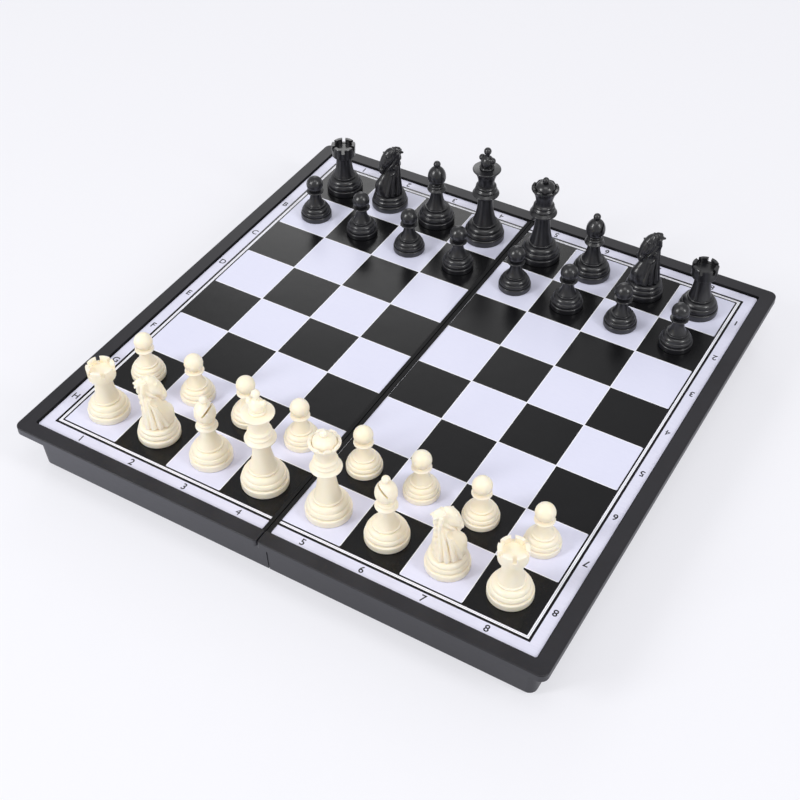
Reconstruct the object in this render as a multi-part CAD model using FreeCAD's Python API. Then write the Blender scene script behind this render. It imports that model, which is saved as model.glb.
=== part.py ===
import FreeCAD, Part
import math
import os

# Folding magnetic chess set, millimetres.
# Origin: centre of the open board on the table it stands on. +Z is up, +X runs along the
# front edge (white's side) to the right, +Y runs from white's side to black's side.
# The fold line is the Y axis. The left half is the right half turned half round about Z.

V = FreeCAD.Vector

# ---- playing surface ----
square = 27.0                 # one square of the board
files_per_half = 4            # squares across one half, front edge direction
ranks = 8                     # squares from front to back
sheet_margin = 8.6            # printed sheet outside the squares
sheet_thickness = 0.4         # printed plastic sheet
plate_thickness = 0.5         # thin steel the magnets hold on to
inlay_clearance = 0.1         # sheet and plate to the strip beside the fold
inlay_border_gap = 0.6        # groove left between the inlays and the frame

# ---- tray mouldings ----
rim_width = 6.6               # frame round the sheet, seen from above
rim_height = 1.2              # frame's top above the sheet
hinge_strip = 1.6             # narrow plastic edge between sheet and fold line
strip_height = 0.5            # its top above the sheet
fold_gap = 0.5                # slit between the two halves
tray_height = 23.5            # walls' lower rim to frame's top
panel_thickness = 2.0         # plastic under the steel plate
flange_thickness = 3.5        # outer edge of the frame
flange_overhang = 5.5         # frame's edge beyond the wall below it
wall_thickness = 2.0
wall_draft = 0.8              # the walls lean in by this much at the rim
cove_radius = 2.4             # hollow corner between frame and wall
flange_corner = 3.5           # outer corners seen from above
fold_corner = 1.2             # corners beside the fold line
recess_corner = 1.0
edge_round = 0.5              # outer top edge of the frame
rib_thickness = 1.2
rib_height = 2.2

# ---- hinge ----
knuckle_radius = 1.8
pin_radius = 0.8
pin_running_clearance = 0.06  # pin in the left half's knuckles, radial
knuckle_length = 9.0
knuckle_gap = 0.4             # between neighbouring knuckles
knuckles_per_hinge = 4
hinge_offset = 74.0           # centre of each hinge from the board's centre
knuckle_relief = 0.4          # other half's wall to the knuckle
hinge_boss = 4.6              # thickened wall that carries the knuckles
closing_gap = 0.2             # between the two rims when folded

# ---- locating feet and their sockets ----
foot_radius = 2.5
foot_edge = 0.3
socket_clearance = 0.35
socket_floor_gap = 0.5
post_radius = 4.2
post_bite = 1.9               # how far a post runs into the wall beside it
post_pitch = 12.5             # foot to socket in one corner

# ---- men ----
king_height = 51.4
queen_height = 45.4
bishop_height = 34.8
knight_height = 34.2
rook_height = 26.8
pawn_height = 23.2
king_radius = 9.9
queen_radius = 9.6
officer_radius = 9.1          # base of bishop, knight and rook
pawn_radius = 7.65
standing_gap = 0.02           # air under the foot of a man set down on the sheet
reference_base = 9.8          # base radius the base mouldings are drawn at
merlons = 6
merlon_slot = 1.6
coronet_points = 8
magnet_share = 0.52           # magnet radius as a share of the base radius
magnet_thickness = 2.0
magnet_set_back = 0.2         # magnet's face above the foot of the man
magnet_clearance = 0.1
knight_reference_base = 9.4   # base radius the horse's head is drawn for
tip_flat = 0.3                # small flat on top of every ball

# ---- derived levels and outlines ----
axis_z = knuckle_radius
rim_z = axis_z + closing_gap / 2
top_z = rim_z + tray_height
sheet_z = top_z - rim_height
plate_z = sheet_z - sheet_thickness
recess_z = plate_z - plate_thickness
panel_z = recess_z - panel_thickness
flange_z = top_z - flange_thickness
near_x = fold_gap / 2
grid_x = near_x + hinge_strip
far_x = grid_x + files_per_half * square + sheet_margin + rim_width
half_y = ranks / 2 * square + sheet_margin + rim_width
recess_far_x = far_x - rim_width
recess_half_y = half_y - rim_width


def plan(x0, x1, y, near_radius, far_radius, z):
    """Outline from x0 to x1, symmetric in y, with its own corner radii on each side."""
    corners = [(x0, -y, near_radius, 180), (x1, -y, far_radius, 270), (x1, y, far_radius, 0),
               (x0, y, near_radius, 90)]
    edges = []
    ends = []
    for cx, cy, r, start in corners:
        sx = 1 if cx == x0 else -1
        sy = 1 if cy < 0 else -1
        centre = V(cx + sx * r, cy + sy * r, z)
        arc = []
        for step in (0, 45, 90):
            a = math.radians(start + step)
            arc.append(centre + V(r * math.cos(a), r * math.sin(a), 0))
        if ends:
            edges.append(Part.makeLine(ends[-1], arc[0]))
        if r > 0:
            edges.append(Part.Arc(arc[0], arc[1], arc[2]).toShape())
        ends += [arc[0], arc[2]]
    edges.append(Part.makeLine(ends[-1], ends[0]))
    return Part.Wire(edges)


def slab(x0, x1, y, near_radius, far_radius, z0, z1):
    face = Part.Face(plan(x0, x1, y, near_radius, far_radius, z0))
    return face.extrude(V(0, 0, z1 - z0))


def tapered(inset_top, inset_rim, x0, corner, z_top, z_rim):
    """Block under the frame whose three outer sides lean in towards the rim."""
    top = plan(x0, far_x - inset_top, half_y - inset_top, 0, corner, z_top)
    rim = plan(x0, far_x - inset_rim, half_y - inset_rim, 0, corner, z_rim)
    return Part.makeLoft([rim, top], True, True)


def box(x0, x1, y0, y1, z0, z1):
    return Part.makeBox(x1 - x0, y1 - y0, z1 - z0, V(x0, y0, z0))


def upright(x, y, radius, z0, z1):
    return Part.makeCylinder(radius, z1 - z0, V(x, y, z0))


def along_y(radius, y0, y1):
    return Part.makeCylinder(radius, y1 - y0, V(0, y0, axis_z), V(0, 1, 0))


# ---- one half's tray, drawn as the right half ----
def post_places():
    x = far_x - flange_overhang - wall_draft - wall_thickness - post_radius + post_bite
    y = half_y - flange_overhang - wall_draft - wall_thickness - post_radius + post_bite
    feet = [(x, -y), (x, y - post_pitch)]
    sockets = [(x, y), (x, -(y - post_pitch))]
    return feet, sockets


def knuckle_spans():
    """Front and back ends of every knuckle, own ones first, then the other half's."""
    pitch = knuckle_length + knuckle_gap
    own = []
    other = []
    for side in (-1, 1):
        for i in range(knuckles_per_hinge):
            start = side * hinge_offset + (i - knuckles_per_hinge / 2) * pitch + knuckle_gap / 2
            span = (start, start + knuckle_length)
            if i % 2 == 0:
                own.append(span)
            else:
                other.append(span)
    return own, other


def hinge_length():
    return knuckles_per_hinge * (knuckle_length + knuckle_gap)


def tray(pin_hole_radius):
    outside = flange_overhang
    inside = flange_overhang + wall_thickness
    frame = slab(near_x, far_x, half_y, fold_corner, flange_corner, flange_z, top_z)
    band_z = flange_z - cove_radius - 0.6
    band = slab(near_x, far_x - outside, half_y - outside, 0, flange_corner, band_z, flange_z)
    solid = frame.fuse(band).removeSplitter()
    cove_edges = []
    for edge in solid.Edges:
        b = edge.BoundBox
        under_frame = b.ZLength < 1e-4 and abs(b.ZMin - flange_z) < 1e-4
        on_wall = max(abs(b.YMin), abs(b.YMax)) < half_y - outside + 1e-3
        on_wall = on_wall and b.XMax < far_x - outside + 1e-3
        if under_frame and on_wall and b.XMax > near_x + 1e-3:
            cove_edges.append(edge)
    solid = solid.makeFillet(cove_radius, cove_edges)
    skirt = tapered(outside, outside + wall_draft, near_x, flange_corner, band_z, rim_z)
    solid = solid.fuse(skirt)
    top_edges = []
    for edge in solid.Edges:
        b = edge.BoundBox
        if b.ZMin > top_z - 1e-4 and b.XMax > near_x + 1e-3:
            top_edges.append(edge)
    solid = solid.makeFillet(edge_round, top_edges)

    cavity = tapered(inside, inside + wall_draft, near_x + wall_thickness, flange_corner - 1.5,
                     flange_z, rim_z)
    cavity = cavity.common(box(0, far_x, -half_y, half_y, 0, panel_z))
    roof = slab(near_x + wall_thickness, far_x - inside, half_y - inside, 0.3, 1.5,
                flange_z - 0.5, panel_z)
    if panel_z > flange_z:
        cavity = cavity.fuse(roof)
    solid = solid.cut(cavity)
    recess = slab(grid_x, recess_far_x, recess_half_y, recess_corner, recess_corner,
                  recess_z, top_z + 1)
    strip_cut = box(near_x - 1, grid_x + 1, -recess_half_y, recess_half_y,
                    sheet_z + strip_height, top_z + 1)
    solid = solid.cut(recess).cut(strip_cut)

    # stiffening ribs under the panel
    ribs = []
    rib_x1 = far_x - inside - 0.5
    rib_y = half_y - inside - 0.5
    for y in (-2 * square, 0, 2 * square):
        ribs.append(box(near_x + 1, rib_x1, y - rib_thickness / 2, y + rib_thickness / 2,
                        panel_z - rib_height, panel_z + 0.5))
    for x in (grid_x + square, grid_x + 3 * square):
        ribs.append(box(x - rib_thickness / 2, x + rib_thickness / 2, -rib_y, rib_y,
                        panel_z - rib_height, panel_z + 0.5))

    # corner posts: a foot on one, a socket for the other half's foot in its neighbour
    feet, sockets = post_places()
    for x, y in feet + sockets:
        ribs.append(upright(x, y, post_radius, rim_z, panel_z + 0.5))
    for x, y in feet:
        foot = upright(x, y, foot_radius, 0, rim_z + 1)
        tip = []
        for edge in foot.Edges:
            if edge.BoundBox.ZMax < 1e-4:
                tip.append(edge)
        ribs.append(foot.makeChamfer(foot_edge, tip))

    # thickened wall and knuckles
    own, other = knuckle_spans()
    for side in (-1, 1):
        centre = side * hinge_offset
        ribs.append(box(near_x + 0.5, near_x + hinge_boss, centre - hinge_length() / 2 - 2,
                        centre + hinge_length() / 2 + 2, rim_z, rim_z + hinge_boss))
    solid = solid.multiFuse(ribs)
    for y0, y1 in other:
        solid = solid.cut(along_y(knuckle_radius + knuckle_relief, y0 - knuckle_gap,
                                  y1 + knuckle_gap))
    knuckles = []
    for y0, y1 in own:
        knuckles.append(along_y(knuckle_radius, y0, y1))
    solid = solid.multiFuse(knuckles)
    for y0, y1 in own:
        solid = solid.cut(along_y(pin_hole_radius, y0 - 1, y1 + 1))
    depth = axis_z + socket_floor_gap
    for x, y in sockets:
        solid = solid.cut(upright(x, y, foot_radius + socket_clearance, rim_z - 1,
                                  rim_z + depth))
    return solid.removeSplitter()


def inlay(z0, z1):
    gap = inlay_border_gap
    return slab(grid_x + inlay_clearance, recess_far_x - gap, recess_half_y - gap,
                recess_corner, recess_corner, z0, z1)


def turned_round(shape):
    copy = shape.copy()
    copy.rotate(V(0, 0, 0), V(0, 0, 1), 180)
    return copy


def hinge_pin(side):
    centre = side * hinge_offset
    half = hinge_length() / 2 - knuckle_gap
    return along_y(pin_radius, centre - half, centre + half)


# ---- the men ----
def outline(start, moves, place):
    """Edges from start through moves; place turns each pair of numbers into a point."""
    here = place(*start)
    edges = []
    for move in moves:
        target = place(*move[-2:])
        if len(move) == 2:
            edges.append(Part.makeLine(here, target))
        else:
            edges.append(Part.Arc(here, place(*move[:2]), target).toShape())
        here = target
    return edges


def lathe(moves):
    """Solid of revolution about Z. A move is (r, z) for a line or (r, z, r, z) for an arc."""
    edges = outline((0, 0), moves + [(0, 0)], lambda r, z: V(r, 0, z))
    face = Part.Face(Part.Wire(edges))
    return face.revolve(V(0, 0, 0), V(0, 0, 1), 360)


def base_moves(radius):
    """Foot disc, ring, dome and neck ring, the same mouldings for every man."""
    u = radius / reference_base
    moves = [(9.2, 0), (9.65, 0.15, 9.8, 0.6), (9.8, 2.8), (9.65, 3.3, 9.1, 3.5), (8.8, 3.6)]
    moves += [(9.2, 4.6, 8.9, 5.6), (8.6, 6.1, 8.2, 6.3), (7.5, 8.0, 6.1, 8.7)]
    moves += [(6.1, 9.0), (6.35, 9.4, 6.1, 9.8)]
    scaled = []
    for move in moves:
        scaled.append(tuple(value * u for value in move))
    return scaled


def base_top(radius):
    return 9.8 * radius / reference_base


def stem(radius, foot_share, bottom_radius, top_radius, end_z):
    """Hollow-sided stem from the neck ring up to end_z; foot_share sets how low it flares."""
    low = base_top(radius)
    waist = top_radius + (bottom_radius - top_radius) * 0.3
    return [(bottom_radius, low + 0.1), (waist, low + (end_z - low) * foot_share, top_radius, end_z)]


def with_magnet(man, radius):
    """Disc magnet glued in a pocket in the foot of the man."""
    magnet_radius = radius * magnet_share
    magnet_top = magnet_set_back + magnet_thickness
    pocket = upright(0, 0, magnet_radius + magnet_clearance, -1, magnet_top)
    magnet = upright(0, 0, magnet_radius, magnet_set_back, magnet_top)
    return Part.makeCompound([man.cut(pocket), magnet])


def pawn():
    head = 4.1
    head_z = pawn_height - head
    collar_z = head_z - 4.8
    moves = base_moves(pawn_radius)
    moves += stem(pawn_radius, 0.45, 0.55 * pawn_radius, 2.4, collar_z - 0.3)
    moves += [(2.6, collar_z - 0.1)]
    moves += [(3.95, collar_z + 0.3), (4.2, collar_z + 0.7, 3.95, collar_z + 1.1)]
    moves += [(2.5, head_z - 3.3), (head, head_z, tip_flat, pawn_height), (0, pawn_height)]
    return with_magnet(lathe(moves), pawn_radius)


def rook():
    turret_z = rook_height - 7.6
    well_z = rook_height - 2.6
    moves = base_moves(officer_radius)
    moves += stem(officer_radius, 0.4, 0.58 * officer_radius, 3.9, turret_z)
    moves += [(4.4, turret_z + 0.7, 5.5, turret_z + 1.3)]
    moves += [(5.8, turret_z + 1.55, 5.85, turret_z + 2.0), (6.05, rook_height - 0.3)]
    moves += [(5.85, rook_height), (4.4, rook_height), (4.4, well_z), (0, well_z)]
    man = lathe(moves)
    for i in range(merlons // 2):
        slot = box(-9, 9, -merlon_slot / 2, merlon_slot / 2, well_z + 0.2, rook_height + 1)
        slot.rotate(V(0, 0, 0), V(0, 0, 1), 180 / (merlons // 2) * i)
        man = man.cut(slot)
    return with_magnet(man, officer_radius)


def bishop():
    h = bishop_height
    moves = base_moves(officer_radius)
    moves += stem(officer_radius, 0.44, 0.56 * officer_radius, 2.85, h - 16.8)
    moves += [(3.1, h - 16.6)]
    moves += [(4.4, h - 16.2), (4.65, h - 15.8, 4.4, h - 15.4), (3.6, h - 14.6)]
    moves += [(3.95, h - 14.0, 3.6, h - 13.4), (3.1, h - 13.1), (3.35, h - 12.6, 3.0, h - 12.2)]
    moves += [(4.1, h - 10.8, 4.45, h - 8.4), (3.5, h - 5.2, 1.1, h - 3.05)]
    moves += [(1.75, h - 1.75, tip_flat, h), (0, h)]
    man = lathe(moves)
    slit = box(0.6, 8, -6, 6, -0.4, 0.4)
    slit.rotate(V(0, 0, 0), V(0, 1, 0), -52)
    slit.translate(V(0, 0, h - 8.2))
    slit.rotate(V(0, 0, 0), V(0, 0, 1), -90)
    return with_magnet(man.cut(slit), officer_radius)


def crowned_stem(radius, collar_z):
    """Base, stem and the triple collar shared by king and queen, up to the neck."""
    moves = base_moves(radius)
    moves += stem(radius, 0.4, 0.58 * radius, 3.6, collar_z - 0.4)
    moves += [(3.9, collar_z - 0.2)]
    moves += [(6.15, collar_z + 0.3), (6.5, collar_z + 0.8, 6.15, collar_z + 1.3)]
    moves += [(5.1, collar_z + 2.2), (5.5, collar_z + 2.9, 5.1, collar_z + 3.6)]
    moves += [(4.65, collar_z + 4.2), (5.0, collar_z + 4.9, 4.65, collar_z + 5.6)]
    return moves


def queen():
    h = queen_height
    rim = h - 6.4
    moves = crowned_stem(queen_radius, rim - 13.8)
    moves += [(4.0, rim - 7.7), (4.5, rim - 3.8, 6.1, rim - 0.4)]
    moves += [(6.5, rim + 0.5, 6.2, rim + 1.3), (5.3, rim + 1.2), (4.8, rim - 0.4)]
    moves += [(4.1, rim + 2.2, 1.1, h - 2.9)]
    moves += [(1.55, h - 1.5, tip_flat, h), (0, h)]
    man = lathe(moves)
    for i in range(coronet_points):
        notch = Part.makeCylinder(1.25, 6, V(4.9, 0, rim + 1.5), V(1, 0, 0))
        notch.rotate(V(0, 0, 0), V(0, 0, 1), 360 / coronet_points * (i + 0.5))
        man = man.cut(notch)
    return with_magnet(man, queen_radius)


def king():
    h = king_height
    rim = h - 12.2
    moves = crowned_stem(king_radius, rim - 14.0)
    moves += [(3.9, rim - 8.0), (4.5, rim - 3.6, 6.5, rim), (6.8, rim + 0.4, 6.5, rim + 0.8)]
    moves += [(3.3, rim + 1.1), (3.6, rim + 1.6, 3.3, rim + 2.1), (2.8, rim + 2.3)]
    moves += [(3.2, rim + 4.6, 2.2, rim + 6.9), (1.1, rim + 7.8), (1.1, h - 3.4)]
    moves += [(1.8, h - 1.8, tip_flat, h), (0, h)]
    man = lathe(moves)
    arm_z = h - 6.2
    reach = 4.4
    lobe = [(1.1, 0), (1.1, reach - 2.8), (1.6, reach - 1.6, tip_flat, reach), (0, reach)]
    finial = []
    for side in (-1, 1):
        arm = lathe(lobe)
        arm.rotate(V(0, 0, 0), V(0, 1, 0), 90 * side)
        arm.translate(V(0, 0, arm_z))
        finial.append(arm)
    return with_magnet(man.multiFuse(finial), king_radius)


def knight():
    """Horse's head looking along -Y on the common base."""
    low = base_top(officer_radius)
    stand = lathe(base_moves(officer_radius) + [(6.0, low), (0, low)])
    wide = officer_radius / knight_reference_base
    tall = (knight_height - low) / 25.2
    depth = 8.8 * wide

    def side_point(y, z):
        return V(-depth, y * wide, low + z * tall)

    def front_point(x, z):
        return V(x * wide, -depth, low + z * tall)

    def front_point_left(x, z):
        return V(-x * wide, -depth, low + z * tall)

    chest = (-6.6, -0.4)
    side = [(-6.7, 3.6, -3.9, 7.8), (-3.3, 9.2, -4.2, 10.0), (-6.4, 9.6)]
    side += [(-7.9, 10.2, -8.2, 11.8), (-7.9, 13.6), (-6.2, 17.0, -4.4, 20.8)]
    side += [(-2.9, 23.2), (-1.2, 25.2), (-0.2, 23.0), (2.6, 22.2, 4.3, 19.2)]
    side += [(6.6, 11.6, 6.6, -0.4), chest]
    silhouette = Part.Face(Part.Wire(outline(chest, side, side_point)))
    silhouette = silhouette.extrude(V(2 * depth, 0, 0))
    foot = (6.8, -0.5)
    front = [(5.9, 4.6, 4.0, 10.1), (3.4, 14.6, 3.3, 19.6), (2.9, 25.3)]
    right = outline(foot, front, front_point)
    left = outline(foot, front, front_point_left)
    left.reverse()
    across = Part.makeLine(front_point(*front[-1]), front_point_left(*front[-1]))
    under = Part.makeLine(front_point_left(*foot), front_point(*foot))
    cheeks = Part.Face(Part.Wire(right + [across] + left + [under])).extrude(V(0, 2 * depth, 0))
    barrel = lathe([(6.6 * wide, 0), (6.6 * wide, low), (8.6 * wide, low + 10.6 * tall),
                    (8.6 * wide, knight_height + 1), (0, knight_height + 1)])
    head = silhouette.common(cheeks).common(barrel)
    ear_gap = box(-0.6 * wide, 0.6 * wide, -4 * wide, 3 * wide, low + 22.9 * tall,
                  knight_height + 1)
    return with_magnet(stand.fuse(head.cut(ear_gap)), officer_radius)


def file_x(number):
    """Middle of column 1 to 8, counted from the left at the front edge."""
    from_fold = number - files_per_half - 0.5
    side = 1 if from_fold > 0 else -1
    return side * (grid_x + abs(from_fold) * square)


def rank_y(number):
    return (number - ranks / 2 - 0.5) * square


# ---- set out and write every node ----
nodes = {}
right = tray(pin_radius)
left = turned_round(tray(pin_radius + pin_running_clearance))
nodes["right_tray"] = right
nodes["left_tray"] = left
nodes["right_steel_plate"] = inlay(recess_z, plate_z)
nodes["left_steel_plate"] = turned_round(nodes["right_steel_plate"])
nodes["right_board_sheet"] = inlay(plate_z, sheet_z)
nodes["left_board_sheet"] = turned_round(nodes["right_board_sheet"])
nodes["hinge_pin_front"] = hinge_pin(-1)
nodes["hinge_pin_back"] = hinge_pin(1)

# the horses look half towards the corner, and the other men stand turned as a hand sets them
turned_by = {"knight": -40}
turned_singly = {"white_rook_1": 20, "black_rook_8": 30, "white_bishop_3": -75,
                 "white_bishop_6": 137, "black_bishop_3": -150, "black_bishop_6": 137,
                 "white_king_4": 12, "black_king_4": -6}

makers = {"rook": rook, "knight": knight, "bishop": bishop, "king": king, "queen": queen}
back_row = ["rook", "knight", "bishop", "king", "queen", "bishop", "knight", "rook"]
shapes = {"pawn": pawn()}
for kind in makers:
    shapes[kind] = makers[kind]()
for colour, officer_rank, pawn_rank in (("white", 1, 2), ("black", ranks, ranks - 1)):
    for i in range(ranks):
        for kind, rank in ((back_row[i], officer_rank), ("pawn", pawn_rank)):
            man = shapes[kind].copy()
            name = colour + "_" + kind + "_" + str(i + 1)
            turn = turned_singly.get(name, turned_by.get(kind, 0))
            if colour == "white":
                turn += 180
            man.rotate(V(0, 0, 0), V(0, 0, 1), turn)
            man.translate(V(file_x(i + 1), rank_y(rank), sheet_z + standing_gap))
            nodes[name] = man

os.makedirs("parts", exist_ok=True)
for name in nodes:
    nodes[name].exportStep("parts/" + name + ".step")
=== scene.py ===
import math

import bpy
from mathutils import Matrix, Vector


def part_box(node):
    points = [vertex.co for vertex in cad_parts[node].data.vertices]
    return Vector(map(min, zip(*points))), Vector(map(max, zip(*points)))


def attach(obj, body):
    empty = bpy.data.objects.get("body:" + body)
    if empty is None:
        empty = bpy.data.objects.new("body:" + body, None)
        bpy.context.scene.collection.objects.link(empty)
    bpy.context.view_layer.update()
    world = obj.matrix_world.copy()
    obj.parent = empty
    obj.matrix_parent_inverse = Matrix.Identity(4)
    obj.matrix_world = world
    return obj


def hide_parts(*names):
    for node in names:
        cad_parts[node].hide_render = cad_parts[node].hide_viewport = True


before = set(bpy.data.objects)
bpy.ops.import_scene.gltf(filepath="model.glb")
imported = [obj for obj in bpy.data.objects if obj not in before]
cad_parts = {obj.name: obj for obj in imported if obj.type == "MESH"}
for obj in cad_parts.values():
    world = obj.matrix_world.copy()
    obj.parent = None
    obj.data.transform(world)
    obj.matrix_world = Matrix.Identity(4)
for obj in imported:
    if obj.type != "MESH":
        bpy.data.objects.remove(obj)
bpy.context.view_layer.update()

# ------------------------------------------------------------------ sizes taken from the frame
MM = 0.001
M_TO_MM = 1000.0
sheet_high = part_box("right_board_sheet")[1]
tray_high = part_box("right_tray")[1]
rook_low, rook_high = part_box("white_rook_1")
rook_far_low, rook_far_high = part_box("white_rook_8")
black_rook_low, black_rook_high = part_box("black_rook_1")
SHEET_Z = sheet_high.z
PLATE_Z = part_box("right_steel_plate")[1].z
RANK_1_Y = (rook_low.y + rook_high.y) / 2
RANK_8_Y = (black_rook_low.y + black_rook_high.y) / 2
SQUARE = (RANK_8_Y - RANK_1_Y) / 7
FILE_8_X = (rook_far_low.x + rook_far_high.x) / 2
GRID_X = FILE_8_X - 3.5 * SQUARE          # first square starts this far from the fold line
GRID_OUT_X = GRID_X + 4 * SQUARE
GRID_OUT_Y = 4 * SQUARE
knight_low, knight_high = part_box("black_knight_2")
KNIGHT_BASE = (knight_high.x - knight_low.x) / 2

# bands of the print, in millimetres outwards from the edge of the squares
FINE_BORDER = (-0.02, 0.72)
WHITE_BAND = (0.72, 1.85)
HAIRLINE = (1.22, 1.38)
HEAVY_BORDER = (1.85, 2.95)
LABEL_STRIP = 2.65
LINE_HALF_WIDTH = 0.2         # white line between two squares
LABEL_SIZE = 4.5
LABEL_THICKNESS = 0.012
LABEL_WEIGHT = 0.07           # added to the strokes; "4" and "A" would fill up with it
# bands of the tray, in millimetres inwards from its outer edge and down from its top
FRAME_BAND = 6.3
WALL_BAND = 7.8
TOP_FACE_DEPTH = 0.45
GROOVE_BELOW_PLATE = 0.6
GROOVE_BELOW_TOP = 0.1


def file_x(number):
    step = number - 4.5
    return math.copysign(GRID_X + abs(step) * SQUARE, step)


def rank_y(number):
    return (number - 4.5) * SQUARE


# ------------------------------------------------------------------ shader maths
class Finish:
    """A material being built; node() adds any node, and Value carries its sockets."""

    def __init__(self, name):
        self.material = bpy.data.materials.new(name)
        self.material.use_nodes = True
        self.tree = self.material.node_tree
        self.tree.nodes.clear()
        self.out = self.tree.nodes.new("ShaderNodeOutputMaterial")

    def node(self, kind, settings=None, values=None):
        made = self.tree.nodes.new(kind)
        for key, value in (settings or {}).items():
            setattr(made, key, value)
        for key, value in (values or {}).items():
            self.feed(made.inputs[key], value)
        return made

    def feed(self, socket, value):
        if isinstance(value, Value):
            self.tree.links.new(value.socket, socket)
        elif isinstance(value, bpy.types.NodeSocket):
            self.tree.links.new(value, socket)
        else:
            socket.default_value = value

    def millimetres(self):
        """Object coordinates in millimetres, as a vector socket."""
        coords = self.node("ShaderNodeTexCoord").outputs["Object"]
        return self.node("ShaderNodeVectorMath", {"operation": "SCALE"},
                         {0: coords, "Scale": M_TO_MM}).outputs[0]

    def split(self, vector):
        """The vector's x, y and z as values."""
        made = self.node("ShaderNodeSeparateXYZ", None, {0: vector})
        return [Value(self, output) for output in made.outputs]

    def stretched(self, vector, scale):
        return self.node("ShaderNodeVectorMath", {"operation": "MULTIPLY"},
                         {0: vector, 1: scale}).outputs[0]

    def noise(self, vector, size, detail=2.0, rough=0.5):
        """Noise whose features are about size millimetres wide; returns 0..1."""
        made = self.node("ShaderNodeTexNoise", None,
                         {"Vector": vector, "Scale": 1.0 / size, "Detail": detail,
                          "Roughness": rough})
        return Value(self, made.outputs["Fac"])

    def blend(self, factor, first, second):
        made = self.node("ShaderNodeMix", {"data_type": "RGBA"}, {0: factor, 6: first, 7: second})
        return made.outputs[2]

    def bump(self, height, strength, distance):
        values = {"Height": height, "Strength": strength, "Distance": distance}
        return self.node("ShaderNodeBump", None, values).outputs[0]

    def surface(self, **sockets):
        shader = self.node("ShaderNodeBsdfPrincipled", None,
                           {key.replace("_", " "): value for key, value in sockets.items()})
        self.tree.links.new(shader.outputs[0], self.out.inputs[0])
        return self.material


class Value:
    """A number on the surface; arithmetic on it adds Math nodes."""

    def __init__(self, finish, socket):
        self.finish = finish
        self.socket = socket

    def math(self, operation, *others):
        made = self.finish.node("ShaderNodeMath", {"operation": operation})
        for i, item in enumerate((self,) + others):
            self.finish.feed(made.inputs[i], item)
        return Value(self.finish, made.outputs[0])

    def __add__(self, other):
        return self.math("ADD", other)

    __radd__ = __add__

    def __sub__(self, other):
        return self.math("SUBTRACT", other)

    def __rsub__(self, other):
        made = self.finish.node("ShaderNodeMath", {"operation": "SUBTRACT"}, {0: other, 1: self})
        return Value(self.finish, made.outputs[0])

    def __mul__(self, other):
        return self.math("MULTIPLY", other)

    def __truediv__(self, other):
        return self.math("DIVIDE", other)

    def __mod__(self, other):
        return self.math("FLOORED_MODULO", other)

    def __gt__(self, other):
        return self.math("GREATER_THAN", other)

    def __lt__(self, other):
        return self.math("LESS_THAN", other)

    def __abs__(self):
        return self.math("ABSOLUTE")

    def floor(self):
        return self.math("FLOOR")

    def most(self, other):
        return self.math("MAXIMUM", other)

    def least(self, other):
        return self.math("MINIMUM", other)

    def between(self, low, high):
        """1 where the value lies between the two limits, else 0."""
        return (self > low) * (self < high)


def srgb(r, g, b):
    """Colour written as 0..255 display values, as the linear colour Blender takes."""
    def linear(c):
        c = c / 255
        return c / 12.92 if c <= 0.04045 else ((c + 0.055) / 1.055) ** 2.4
    return (linear(r), linear(g), linear(b), 1.0)


# ------------------------------------------------------------------ materials
def tray_plastic():
    f = Finish("tray_black_plastic")
    place = f.millimetres()
    x, y, z = f.split(place)
    grain = f.noise(place, 0.35, 3.0, 0.6)
    cloud = f.noise(place, 22.0, 2.0)
    drag = f.noise(f.stretched(place, (0.25, 0.25, 1.0)), 0.8, 2.0)
    tone = cloud * 0.6 + drag * 0.4
    top = f.blend(tone, srgb(22, 21, 26), srgb(36, 35, 41))
    # painted sheen: the outer walls are painted paler than the top, standing in for the bright
    # floor they reflect, and paler still from right to left, standing in for the light from the
    # left
    edge_x = tray_high.x * M_TO_MM
    edge_y = tray_high.y * M_TO_MM
    top_z = tray_high.z * M_TO_MM
    painted_leftward_sheen = (0.5 - x / (edge_x * 2)).most(0.0).least(1.0)
    # wall colour: random tone plus painted reflection, growing paler towards the left
    wall_tone_and_painted_sheen = f.blend(painted_leftward_sheen * painted_leftward_sheen * 0.85 + tone * 0.15, srgb(40, 40, 46), srgb(78, 79, 86))
    walls = (abs(x) > edge_x - WALL_BAND).most(abs(y) > edge_y - WALL_BAND)
    colour = f.blend((z < top_z - TOP_FACE_DEPTH) * walls, top, wall_tone_and_painted_sheen)
    # painted shade: the deep groove round the sheet is painted near-black, standing in for the
    # shade inside it
    frame_top = (abs(x) > edge_x - FRAME_BAND).most(abs(y) > edge_y - FRAME_BAND)
    groove_low = PLATE_Z * M_TO_MM - GROOVE_BELOW_PLATE
    painted_groove_shade = z.between(groove_low, top_z - GROOVE_BELOW_TOP) * (1.0 - frame_top)
    colour = f.blend(painted_groove_shade, colour, srgb(4, 4, 6))
    bumps = f.bump(grain, 0.3, 0.00005)
    rough = 0.34 + grain * 0.12 + cloud * 0.08 + painted_groove_shade * 0.35
    return f.surface(Base_Color=colour, Roughness=rough, Normal=bumps, Specular_IOR_Level=0.45)


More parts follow.
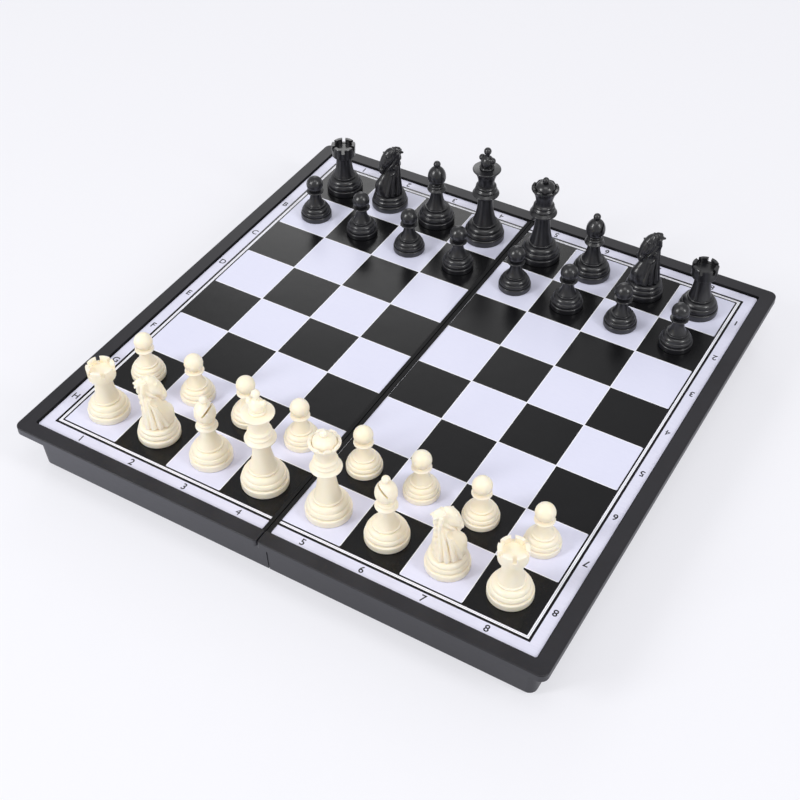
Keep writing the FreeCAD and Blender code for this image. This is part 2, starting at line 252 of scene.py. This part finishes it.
def printed_sheet():
    f = Finish("board_print")
    place = f.millimetres()
    x, y = f.split(place)[:2]
    square = SQUARE * M_TO_MM
    across = abs(x) - GRID_X * M_TO_MM
    column = across / square
    row = y / square + 4.0
    right = x > 0.0
    parity = (column.floor() + row.floor() + right) % 2.0
    light = parity > 0.5
    beyond = (across - 4 * square).most(abs(y) - 4 * square)
    inside = beyond < 0.0
    # thin white lines between the squares
    near_column = abs((column + 0.5) % 1.0 - 0.5) * square
    near_row = abs((row + 0.5) % 1.0 - 0.5) * square
    line = (near_column.least(near_row) < LINE_HALF_WIDTH) * (beyond < -0.5)
    borders = beyond.between(*FINE_BORDER).most(beyond.between(*HEAVY_BORDER))
    white_band = beyond.between(*WHITE_BAND)
    hairline = beyond.between(*HAIRLINE)

    streak = f.noise(f.stretched(place, (0.12, 1.0, 1.0)), 0.5, 2.0)
    tint = f.noise(place, 30.0, 1.0)
    pale = f.blend(streak * 0.5 + tint * 0.5, srgb(217, 218, 239), srgb(226, 227, 245))
    strip = f.blend(streak, srgb(214, 214, 233), srgb(226, 226, 242))
    dark = f.blend(streak * 0.5 + tint * 0.5, srgb(12, 12, 14), srgb(19, 19, 21))
    squares = f.blend(light, dark, pale)
    colour = f.blend(inside, strip, squares)
    colour = f.blend(line.most(white_band), colour, srgb(243, 243, 250))
    colour = f.blend(hairline, colour, srgb(176, 176, 186))
    colour = f.blend(borders, colour, srgb(14, 13, 18))
    ink = (inside * (1.0 - light) * (1.0 - line)).most(borders)
    wave = f.noise(place, 16.0, 2.0)
    normal = f.bump(wave, 0.2, 0.0003)
    return f.surface(Base_Color=colour, Roughness=0.27 + streak * 0.06 - ink * 0.05,
                     Normal=normal, Specular_IOR_Level=0.3)


def label_ink():
    f = Finish("label_ink")
    place = f.millimetres()
    speck = f.noise(place, 0.2, 2.0)
    colour = f.blend(speck, srgb(22, 22, 25), srgb(40, 40, 44))
    return f.surface(Base_Color=colour, Roughness=0.35 + speck * 0.1, Specular_IOR_Level=0.3)


def rolled_steel():
    f = Finish("rolled_steel")
    place = f.millimetres()
    streak = f.noise(f.stretched(place, (1.0, 0.03, 1.0)), 0.25, 3.0)
    colour = f.blend(streak, srgb(150, 152, 156), srgb(188, 190, 194))
    return f.surface(Base_Color=colour, Metallic=1.0, Roughness=0.3 + streak * 0.15,
                     Normal=f.bump(streak, 0.2, 0.00002))


def ivory_plastic():
    f = Finish("ivory_plastic")
    place = f.millimetres()
    cloud = f.noise(place, 9.0, 2.0)
    fine = f.noise(place, 0.6, 2.0)
    colour = f.blend(cloud, srgb(253, 237, 211), srgb(255, 244, 226))
    return f.surface(Base_Color=colour, Roughness=0.3 + cloud * 0.06 + fine * 0.06,
                     Normal=f.bump(fine, 0.06, 0.00005), Subsurface_Weight=0.5,
                     Subsurface_Radius=(0.0035, 0.003, 0.002), Subsurface_Scale=1.0)


def black_plastic():
    f = Finish("black_plastic")
    place = f.millimetres()
    cloud = f.noise(place, 7.0, 2.0)
    fine = f.noise(place, 0.5, 2.0)
    colour = f.blend(cloud, srgb(18, 18, 21), srgb(29, 29, 33))
    return f.surface(Base_Color=colour, Roughness=0.24 + cloud * 0.06 + fine * 0.06,
                     Normal=f.bump(fine, 0.08, 0.00005), Specular_IOR_Level=0.72)


TRAY = tray_plastic()
PRINT = printed_sheet()
INK = label_ink()
STEEL = rolled_steel()
IVORY = ivory_plastic()
BLACK = black_plastic()


def dress(obj, material):
    obj.data.materials.clear()
    obj.data.materials.append(material)


# ------------------------------------------------------------------ modelling helpers
def pick_none():
    if bpy.context.mode != "OBJECT":
        bpy.ops.object.mode_set(mode="OBJECT")
    bpy.ops.object.select_all(action="DESELECT")


def settle(obj):
    """Puts the object's place into its mesh, so that it sits at the origin."""
    pick_none()
    obj.select_set(True)
    bpy.context.view_layer.objects.active = obj
    bpy.ops.object.transform_apply(location=True, rotation=True, scale=True)


def apply_modifiers(obj):
    pick_none()
    obj.select_set(True)
    bpy.context.view_layer.objects.active = obj
    for modifier in list(obj.modifiers):
        bpy.ops.object.modifier_apply(modifier=modifier.name)


def ball(centre, radii, tilt=(0, 0, 0), segments=24):
    """Ellipsoid, all in millimetres and degrees."""
    pick_none()
    bpy.ops.mesh.primitive_uv_sphere_add(segments=segments, ring_count=segments // 2, radius=MM,
                                         location=[c * MM for c in centre],
                                         rotation=[math.radians(t) for t in tilt],
                                         scale=radii)
    obj = bpy.context.object
    settle(obj)
    return obj


def spike(start, end, wide, narrow, flat=1.0):
    """Tapered rod from start to end, squashed sideways by flat."""
    a = Vector(start) * MM
    b = Vector(end) * MM
    way = b - a
    pick_none()
    bpy.ops.mesh.primitive_cone_add(vertices=20, radius1=wide * MM, radius2=narrow * MM,
                                    depth=way.length, location=(a + b) / 2,
                                    rotation=way.to_track_quat("Z", "Y").to_euler(),
                                    scale=(flat, 1, 1))
    obj = bpy.context.object
    settle(obj)
    return obj


def grown(stations):
    """Closed body grown ring by ring along (y, z, half width, half depth, tilt) stations."""
    y, z, wide, deep, tilt = stations[0]
    pick_none()
    bpy.ops.mesh.primitive_circle_add(vertices=28, radius=MM, fill_type="NGON",
                                      location=(0, y * MM, z * MM))
    obj = bpy.context.object
    settle(obj)
    bpy.ops.object.mode_set(mode="EDIT")
    bpy.ops.mesh.select_all(action="SELECT")
    here = (0, y * MM, z * MM)
    bpy.ops.transform.resize(value=(wide, deep, 1), center_override=here)
    bpy.ops.transform.rotate(value=math.radians(-tilt), orient_axis="X", center_override=here)
    last = stations[0]
    for station in stations[1:]:
        y, z, wide, deep, tilt = station
        bpy.ops.mesh.extrude_region()
        bpy.ops.transform.translate(value=(0, (y - last[0]) * MM, (z - last[1]) * MM))
        here = (0, y * MM, z * MM)
        bpy.ops.transform.rotate(value=math.radians(last[4]), orient_axis="X",
                                 center_override=here)
        bpy.ops.transform.resize(value=(wide / last[2], deep / last[3], 1), center_override=here)
        bpy.ops.transform.rotate(value=math.radians(-tilt), orient_axis="X",
                                 center_override=here)
        last = station
    bpy.ops.mesh.select_all(action="SELECT")
    bpy.ops.mesh.normals_make_consistent(inside=False)
    bpy.ops.object.mode_set(mode="OBJECT")
    return obj


def joined(objects, name):
    pick_none()
    for obj in objects:
        obj.select_set(True)
    bpy.context.view_layer.objects.active = objects[0]
    bpy.ops.object.join()
    obj = bpy.context.object
    obj.name = name
    return obj


def mirrored(make, centre, *rest):
    """Left and right copies of a part at +x and -x."""
    return [make(centre, *rest), make((-centre[0],) + tuple(centre[1:]), *rest)]


# ------------------------------------------------------------------ the knights
REFERENCE_BASE = 9.8          # base radius that the rings of the stand are written for
HEAD_SEAT = 4.0               # radius of the flat that the head stands on


def lock(side, places, thick, thin):
    """One lock of hair through a row of (x, y, z) places on one side of the neck."""
    made = []
    steps = len(places) - 1
    for i in range(steps):
        a = (side * places[i][0],) + places[i][1:]
        b = (side * places[i + 1][0],) + places[i + 1][1:]
        wide = thick + (thin - thick) * i / steps
        narrow = thick + (thin - thick) * (i + 1) / steps
        made.append(spike(a, b, wide, narrow))
        made.append(ball(b, (narrow, narrow, narrow), segments=12))
    return made


# rings of (y, z, half width, half depth, tilt); the horse looks along -y
NECK = [(-0.7, 7.4, 5.4, 6.3, 0), (-0.8, 9.4, 5.4, 6.7, 0), (-0.9, 11.0, 5.0, 6.7, 0),
        (-0.8, 13.0, 4.4, 6.3, 0), (-0.6, 15.0, 3.8, 5.9, 0), (-0.1, 17.0, 3.2, 5.2, 0),
        (0.6, 18.8, 2.8, 4.5, 0), (1.2, 20.8, 2.5, 3.9, 0), (1.6, 23.0, 2.4, 3.5, 0),
        (2.0, 25.5, 2.4, 3.2, 0), (2.0, 28.5, 2.4, 3.1, 0), (2.1, 31.0, 2.1, 2.4, 0),
        (2.2, 32.5, 1.2, 1.3, 0)]
FACE = [(1.6, 32.4, 1.4, 1.3, -40), (0.5, 31.0, 2.3, 2.2, -38), (-0.7, 29.3, 2.7, 2.6, -34),
        (-1.8, 27.4, 2.6, 2.6, -28), (-2.7, 25.6, 2.2, 2.35, -23), (-3.4, 23.9, 1.95, 2.1, -19),
        (-3.9, 22.4, 2.0, 2.0, -16), (-4.2, 21.2, 1.9, 1.7, -14), (-4.4, 20.3, 1.2, 1.0, -14)]
CREST = [(2.8, 32.8, 1.0, 1.1, 30), (4.2, 31.4, 1.6, 1.9, 30), (4.6, 29.6, 1.5, 1.7, 15),
         (4.1, 26.0, 1.3, 1.4, 0), (3.9, 22.0, 1.4, 1.4, 0), (3.8, 18.5, 1.6, 1.4, 0),
         (4.1, 14.5, 1.8, 1.4, 0), (4.5, 11.0, 2.1, 1.4, 0), (4.6, 8.0, 2.1, 1.4, 0)]
# (centre, radii, tilt) of the swellings made once on each side
CHEEK = ((1.55, -1.2, 26.8), (1.75, 2.3, 3.7), (-44, 0, 0))
BROW = ((2.0, -1.7, 29.7), (0.75, 1.3, 0.55), (-38, 0, 0))
EYE = ((2.3, -1.6, 28.7), (0.65, 0.75, 0.6))
NOSTRIL = ((1.35, -4.7, 22.4), (1.0, 1.0, 1.15), (-16, 0, 0))
# and of those made once in the middle
CHIN = ((0, -4.0, 20.2), (1.5, 1.3, 0.95), (-16, 0, 0))
POLL = ((0, 5.2, 30.6), (1.5, 1.5, 0.8), (-17, 0, 0))
BREAST = ((0, -3.3, 12.2), (3.8, 4.3, 4.6))
# (places, thickness at the root, thickness at the tip)
HEAD_LOCKS = (([(1.9, 2.9, 27.2), (2.8, 0.8, 25.1), (2.3, -1.6, 22.4)], 0.75, 0.55),  # jaw edge
              ([(0.9, -1.2, 31.1), (1.9, 0.4, 29.6), (2.1, 1.6, 27.6)], 0.8, 0.5),    # forelock
              ([(1.7, 3.6, 30.6), (2.3, 4.2, 27.4), (2.1, 3.8, 24.4)], 1.0, 0.6))     # mane
NECK_LOCKS = ([(5.0, -3.2, 8.4), (4.1, -1.3, 14.2), (2.6, 1.4, 22.8)],
              [(5.5, -0.4, 8.3), (4.3, 0.5, 15.4), (2.5, 2.3, 23.6)],
              [(5.1, 2.3, 8.3), (3.7, 2.7, 15.8), (2.1, 3.4, 24.4)],
              [(3.6, 4.5, 8.3), (2.8, 4.3, 15.4), (1.6, 4.4, 25.4)])
MANE_TUFTS = 6
MANE_TOP = 27.4
MANE_STEP = 3.5


def side_cuts(side):
    """Bodies cut out of one side: nostril, ear cup, throat and cheek."""
    return [ball((side * 1.95, -5.45, 22.3), (0.45, 0.5, 0.5), segments=12),
            ball((side * 2.1, 3.4, 31.9), (0.45, 2.0, 0.4), (-17, 0, 0), 16),
            ball((side * 3.65, -0.1, 21.1), (1.6, 2.0, 2.4), (-40, 0, 0), 24),
            ball((side * 2.95, -3.9, 26.3), (0.7, 0.9, 2.2), (-28, 0, 0), 16)]


def knight_head():
    pieces = [grown(NECK), grown(FACE), grown(CREST)]
    for swelling in (CHEEK, BROW, EYE, NOSTRIL):
        pieces += mirrored(ball, *swelling)
    for swelling in (CHIN, POLL, BREAST):
        pieces.append(ball(*swelling))
    for side in (-1, 1):
        pieces.append(spike((side * 1.1, 1.8, 31.5), (side * 1.3, 6.9, 30.1), 1.5, 0.5, 0.8))  # ear
        for places, root, tip in HEAD_LOCKS:
            pieces += lock(side, places, root, tip)
        for places in NECK_LOCKS:
            pieces += lock(side, places, 1.2, 0.5)
    for i in range(MANE_TUFTS):
        z = MANE_TOP - MANE_STEP * i
        y = 4.6 + 0.05 * (z - 18.5) * (z - 18.5) / 9
        pieces.append(ball((0, y, z), (1.25, 1.15, 2.2), (14, 0, 0), 16))
    head = joined(pieces, "knight_head_master")
    remesh = head.modifiers.new("skin", "REMESH")
    remesh.mode = "VOXEL"
    remesh.voxel_size = 0.18 * MM
    soften = head.modifiers.new("soften", "SMOOTH")
    soften.factor = 0.5
    soften.iterations = 7
    apply_modifiers(head)
    cutters = side_cuts(-1) + side_cuts(1)
    cutters.append(ball((0, -5.7, 21.25), (2.6, 1.9, 0.17), (24, 0, 0), 20))    # mouth
    cutters.append(ball((0, -5.0, 18.8), (4.0, 1.7, 0.7), (25, 0, 0), 24))      # under the chin
    for cutter in cutters:
        carve = head.modifiers.new("carve", "BOOLEAN")
        carve.operation = "DIFFERENCE"
        carve.solver = "EXACT"
        carve.object = cutter
        apply_modifiers(head)
        bpy.data.objects.remove(cutter)
    thin = head.modifiers.new("thin", "DECIMATE")
    thin.ratio = 0.35
    apply_modifiers(head)
    return head


def turned_base(radius, top_radius):
    """Foot disc, ring, dome and neck ring, grown upwards ring by ring of (radius, height)."""
    u = radius / REFERENCE_BASE
    rings = [(8.9, 0.0), (9.2, 0.0), (9.5, 0.07), (9.7, 0.28), (9.8, 0.6), (9.8, 1.7), (9.8, 2.8),
             (9.72, 3.15), (9.45, 3.42), (9.1, 3.5), (8.8, 3.6), (9.0, 3.95), (9.14, 4.4),
             (9.18, 4.8), (9.1, 5.3), (8.9, 5.6), (8.75, 5.9), (8.55, 6.1), (8.35, 6.2),
             (8.5, 6.6), (8.5, 7.1), (8.35, 7.6), (8.0, 8.05), (7.5, 8.35), (7.0, 8.5),
             (top_radius / u, 8.55)]
    pick_none()
    bpy.ops.mesh.primitive_circle_add(vertices=96, radius=rings[0][0] * u * MM,
                                      fill_type="NGON", location=(0, 0, 0))
    obj = bpy.context.object
    bpy.ops.object.mode_set(mode="EDIT")
    bpy.ops.mesh.select_all(action="SELECT")
    last = rings[0]
    for ring in rings[1:]:
        bpy.ops.mesh.extrude_region()
        bpy.ops.transform.translate(value=(0, 0, (ring[1] - last[1]) * u * MM))
        scale = ring[0] / last[0]
        bpy.ops.transform.resize(value=(scale, scale, 1))
        last = ring
    bpy.ops.mesh.select_all(action="SELECT")
    bpy.ops.mesh.normals_make_consistent(inside=False)
    bpy.ops.object.mode_set(mode="OBJECT")
    return obj


def copy_to(master, name, node, turn):
    """A copy with its own mesh, standing where the CAD node stands."""
    low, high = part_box(node)
    obj = master.copy()
    obj.data = master.data.copy()
    obj.name = name
    bpy.context.scene.collection.objects.link(obj)
    obj.rotation_euler = (0, 0, math.radians(turn))
    obj.location = ((low.x + high.x) / 2, (low.y + high.y) / 2, low.z)
    settle(obj)
    return obj


def smooth(obj, degrees):
    pick_none()
    obj.select_set(True)
    bpy.context.view_layer.objects.active = obj
    bpy.ops.object.shade_smooth_by_angle(angle=math.radians(degrees))


head_master = knight_head()
smooth(head_master, 60)
base_master = turned_base(KNIGHT_BASE * M_TO_MM, HEAD_SEAT)
smooth(base_master, 40)

for colour, turn, finish in (("white", 140, IVORY), ("black", -40, BLACK)):
    for number in (2, 7):
        node = colour + "_knight_" + str(number)
        base = copy_to(base_master, node + "_stand", node, turn)
        head = copy_to(head_master, node + "_head", node, turn)
        for piece in (base, head):
            dress(piece, finish)
            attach(piece, node)
        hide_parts(node)
        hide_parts(node)
bpy.data.objects.remove(head_master)
bpy.data.objects.remove(base_master)


# ------------------------------------------------------------------ labels on the sheets
def label(text, x, y, turn, name):
    """One letter or figure, its middle at x, y, turned about its own middle."""
    pick_none()
    bpy.ops.object.text_add(location=(0, 0, 0))
    obj = bpy.context.object
    obj.name = name
    obj.data.body = text
    obj.data.size = LABEL_SIZE * MM
    obj.data.offset = (0.0 if text in "4A" else LABEL_WEIGHT) * MM
    obj.data.align_x = "CENTER"
    obj.data.align_y = "CENTER"
    obj.data.extrude = LABEL_THICKNESS * MM
    obj.data.resolution_u = 6
    pick_none()
    obj.select_set(True)
    bpy.context.view_layer.objects.active = obj
    bpy.ops.object.convert(target="MESH")
    obj = bpy.context.object
    bpy.ops.object.origin_set(type="ORIGIN_GEOMETRY", center="BOUNDS")
    obj.rotation_euler = (0, 0, math.radians(turn))
    obj.location = (x, y, SHEET_Z + LABEL_THICKNESS * MM)
    settle(obj)
    return obj


def labels():
    strip_x = (GRID_OUT_X + LABEL_STRIP * MM + sheet_high.x) / 2
    strip_y = (GRID_OUT_Y + LABEL_STRIP * MM + sheet_high.y) / 2
    left = []
    right = []
    letters = "HGFEDCBA"
    for i in range(8):
        x = file_x(i + 1)
        y = rank_y(i + 1)
        half = right if x > 0 else left
        half.append(label(str(i + 1), x, -strip_y, 0, "front_label"))
        half.append(label(str(i + 1), x, strip_y, 180, "back_label"))
        left.append(label(letters[i], -strip_x, y, 0, "left_label"))
        right.append(label(str(8 - i), strip_x, y, 180, "right_label"))
    for side, objects in (("left", left), ("right", right)):
        obj = joined(objects, side + "_coordinates")
        dress(obj, INK)
        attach(obj, side + "_half")


labels()

# ------------------------------------------------------------------ finishes on the CAD nodes
for name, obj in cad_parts.items():
    if "tray" in name:
        dress(obj, TRAY)
    elif "sheet" in name:
        dress(obj, PRINT)
    elif "plate" in name or "pin" in name:
        dress(obj, STEEL)
    elif name.startswith("white"):
        dress(obj, IVORY)
    else:
        dress(obj, BLACK)


# ------------------------------------------------------------------ floor, light and camera
PAPER_GLOW = 0.62             # share of the paper's look that no shadow darkens
WORLD_STRENGTH = 0.52
SENSOR_WIDTH = 36
FOCAL_RATIO = 1.6595          # focal length against the sensor's width
CAMERA_PLACE = Vector((0.21881, -0.37803, 0.40051 + SHEET_Z))
CAMERA_RIGHT = Vector((0.86089, 0.50876, -0.00653))
CAMERA_DOWN = Vector((0.35135, -0.60372, -0.7156))
CAMERA_FORWARD = Vector((-0.36801, 0.61375, -0.69848))
LAMPS = (("softbox_left", (-0.6, -0.85, 0.7), (0.24, 0.55), 6.5),
         ("softbox_right", (1.05, -0.1, 0.8), (0.22, 0.5), 4.6),
         ("softbox_back", (-0.95, 1.55, 1.1), (0.8, 0.5), 4.2),
         ("softbox_top", (0.25, -0.25, 1.4), (0.6, 0.6), 3.0))    # name, place, size, watts


def floor_paper():
    """Pale paper that keeps most of its brightness where the object shades it."""
    f = Finish("floor_paper")
    f.surface(Base_Color=srgb(240, 240, 245), Roughness=0.9, Specular_IOR_Level=0.1)
    paper = f.out.inputs[0].links[0].from_socket
    glow = f.node("ShaderNodeEmission", None, {"Color": srgb(248, 248, 253), "Strength": 1.0})
    path = f.node("ShaderNodeLightPath")
    seen = Value(f, path.outputs["Is Camera Ray"]).most(Value(f, path.outputs["Is Glossy Ray"]))
    mixed = f.node("ShaderNodeMixShader", None,
                   {0: seen * PAPER_GLOW, 1: paper, 2: glow.outputs[0]})
    f.tree.links.new(mixed.outputs[0], f.out.inputs[0])
    return f.material


def floor():
    pick_none()
    bpy.ops.mesh.primitive_plane_add(size=8, location=(0, 0, 0))
    obj = bpy.context.object
    obj.name = "floor"
    dress(obj, floor_paper())


def studio_world():
    """Even light; past the floor's edge the camera sees the same pale grey as the paper."""
    world = bpy.data.worlds.new("studio")
    bpy.context.scene.world = world
    world.use_nodes = True
    tree = world.node_tree
    background = tree.nodes["Background"]
    background.inputs[0].default_value = (0.985, 0.985, 1.0, 1)
    background.inputs[1].default_value = WORLD_STRENGTH
    backdrop = tree.nodes.new("ShaderNodeBackground")
    backdrop.inputs[0].default_value = srgb(234, 234, 239)
    path = tree.nodes.new("ShaderNodeLightPath")
    mixed = tree.nodes.new("ShaderNodeMixShader")
    tree.links.new(path.outputs["Is Camera Ray"], mixed.inputs[0])
    tree.links.new(background.outputs[0], mixed.inputs[1])
    tree.links.new(backdrop.outputs[0], mixed.inputs[2])
    tree.links.new(mixed.outputs[0], tree.nodes["World Output"].inputs[0])


def lamp(name, place, size, power):
    """Rectangular softbox that faces the middle of the board."""
    light = bpy.data.lights.new(name, "AREA")
    light.shape = "RECTANGLE"
    light.size, light.size_y = size
    light.energy = power
    obj = bpy.data.objects.new(name, light)
    bpy.context.scene.collection.objects.link(obj)
    obj.location = place
    obj.rotation_euler = (-Vector(place)).to_track_quat("-Z", "Y").to_euler()


def camera():
    lens = bpy.data.cameras.new("camera")
    lens.sensor_width = SENSOR_WIDTH
    lens.lens = SENSOR_WIDTH * FOCAL_RATIO
    obj = bpy.data.objects.new("camera", lens)
    bpy.context.scene.collection.objects.link(obj)
    turn = Matrix((CAMERA_RIGHT, -CAMERA_DOWN, -CAMERA_FORWARD)).transposed().to_4x4()
    obj.matrix_world = Matrix.Translation(CAMERA_PLACE) @ turn
    bpy.context.scene.camera = obj
    bpy.context.scene.view_settings.view_transform = "Standard"


floor()
studio_world()
for settings in LAMPS:
    lamp(*settings)
camera()
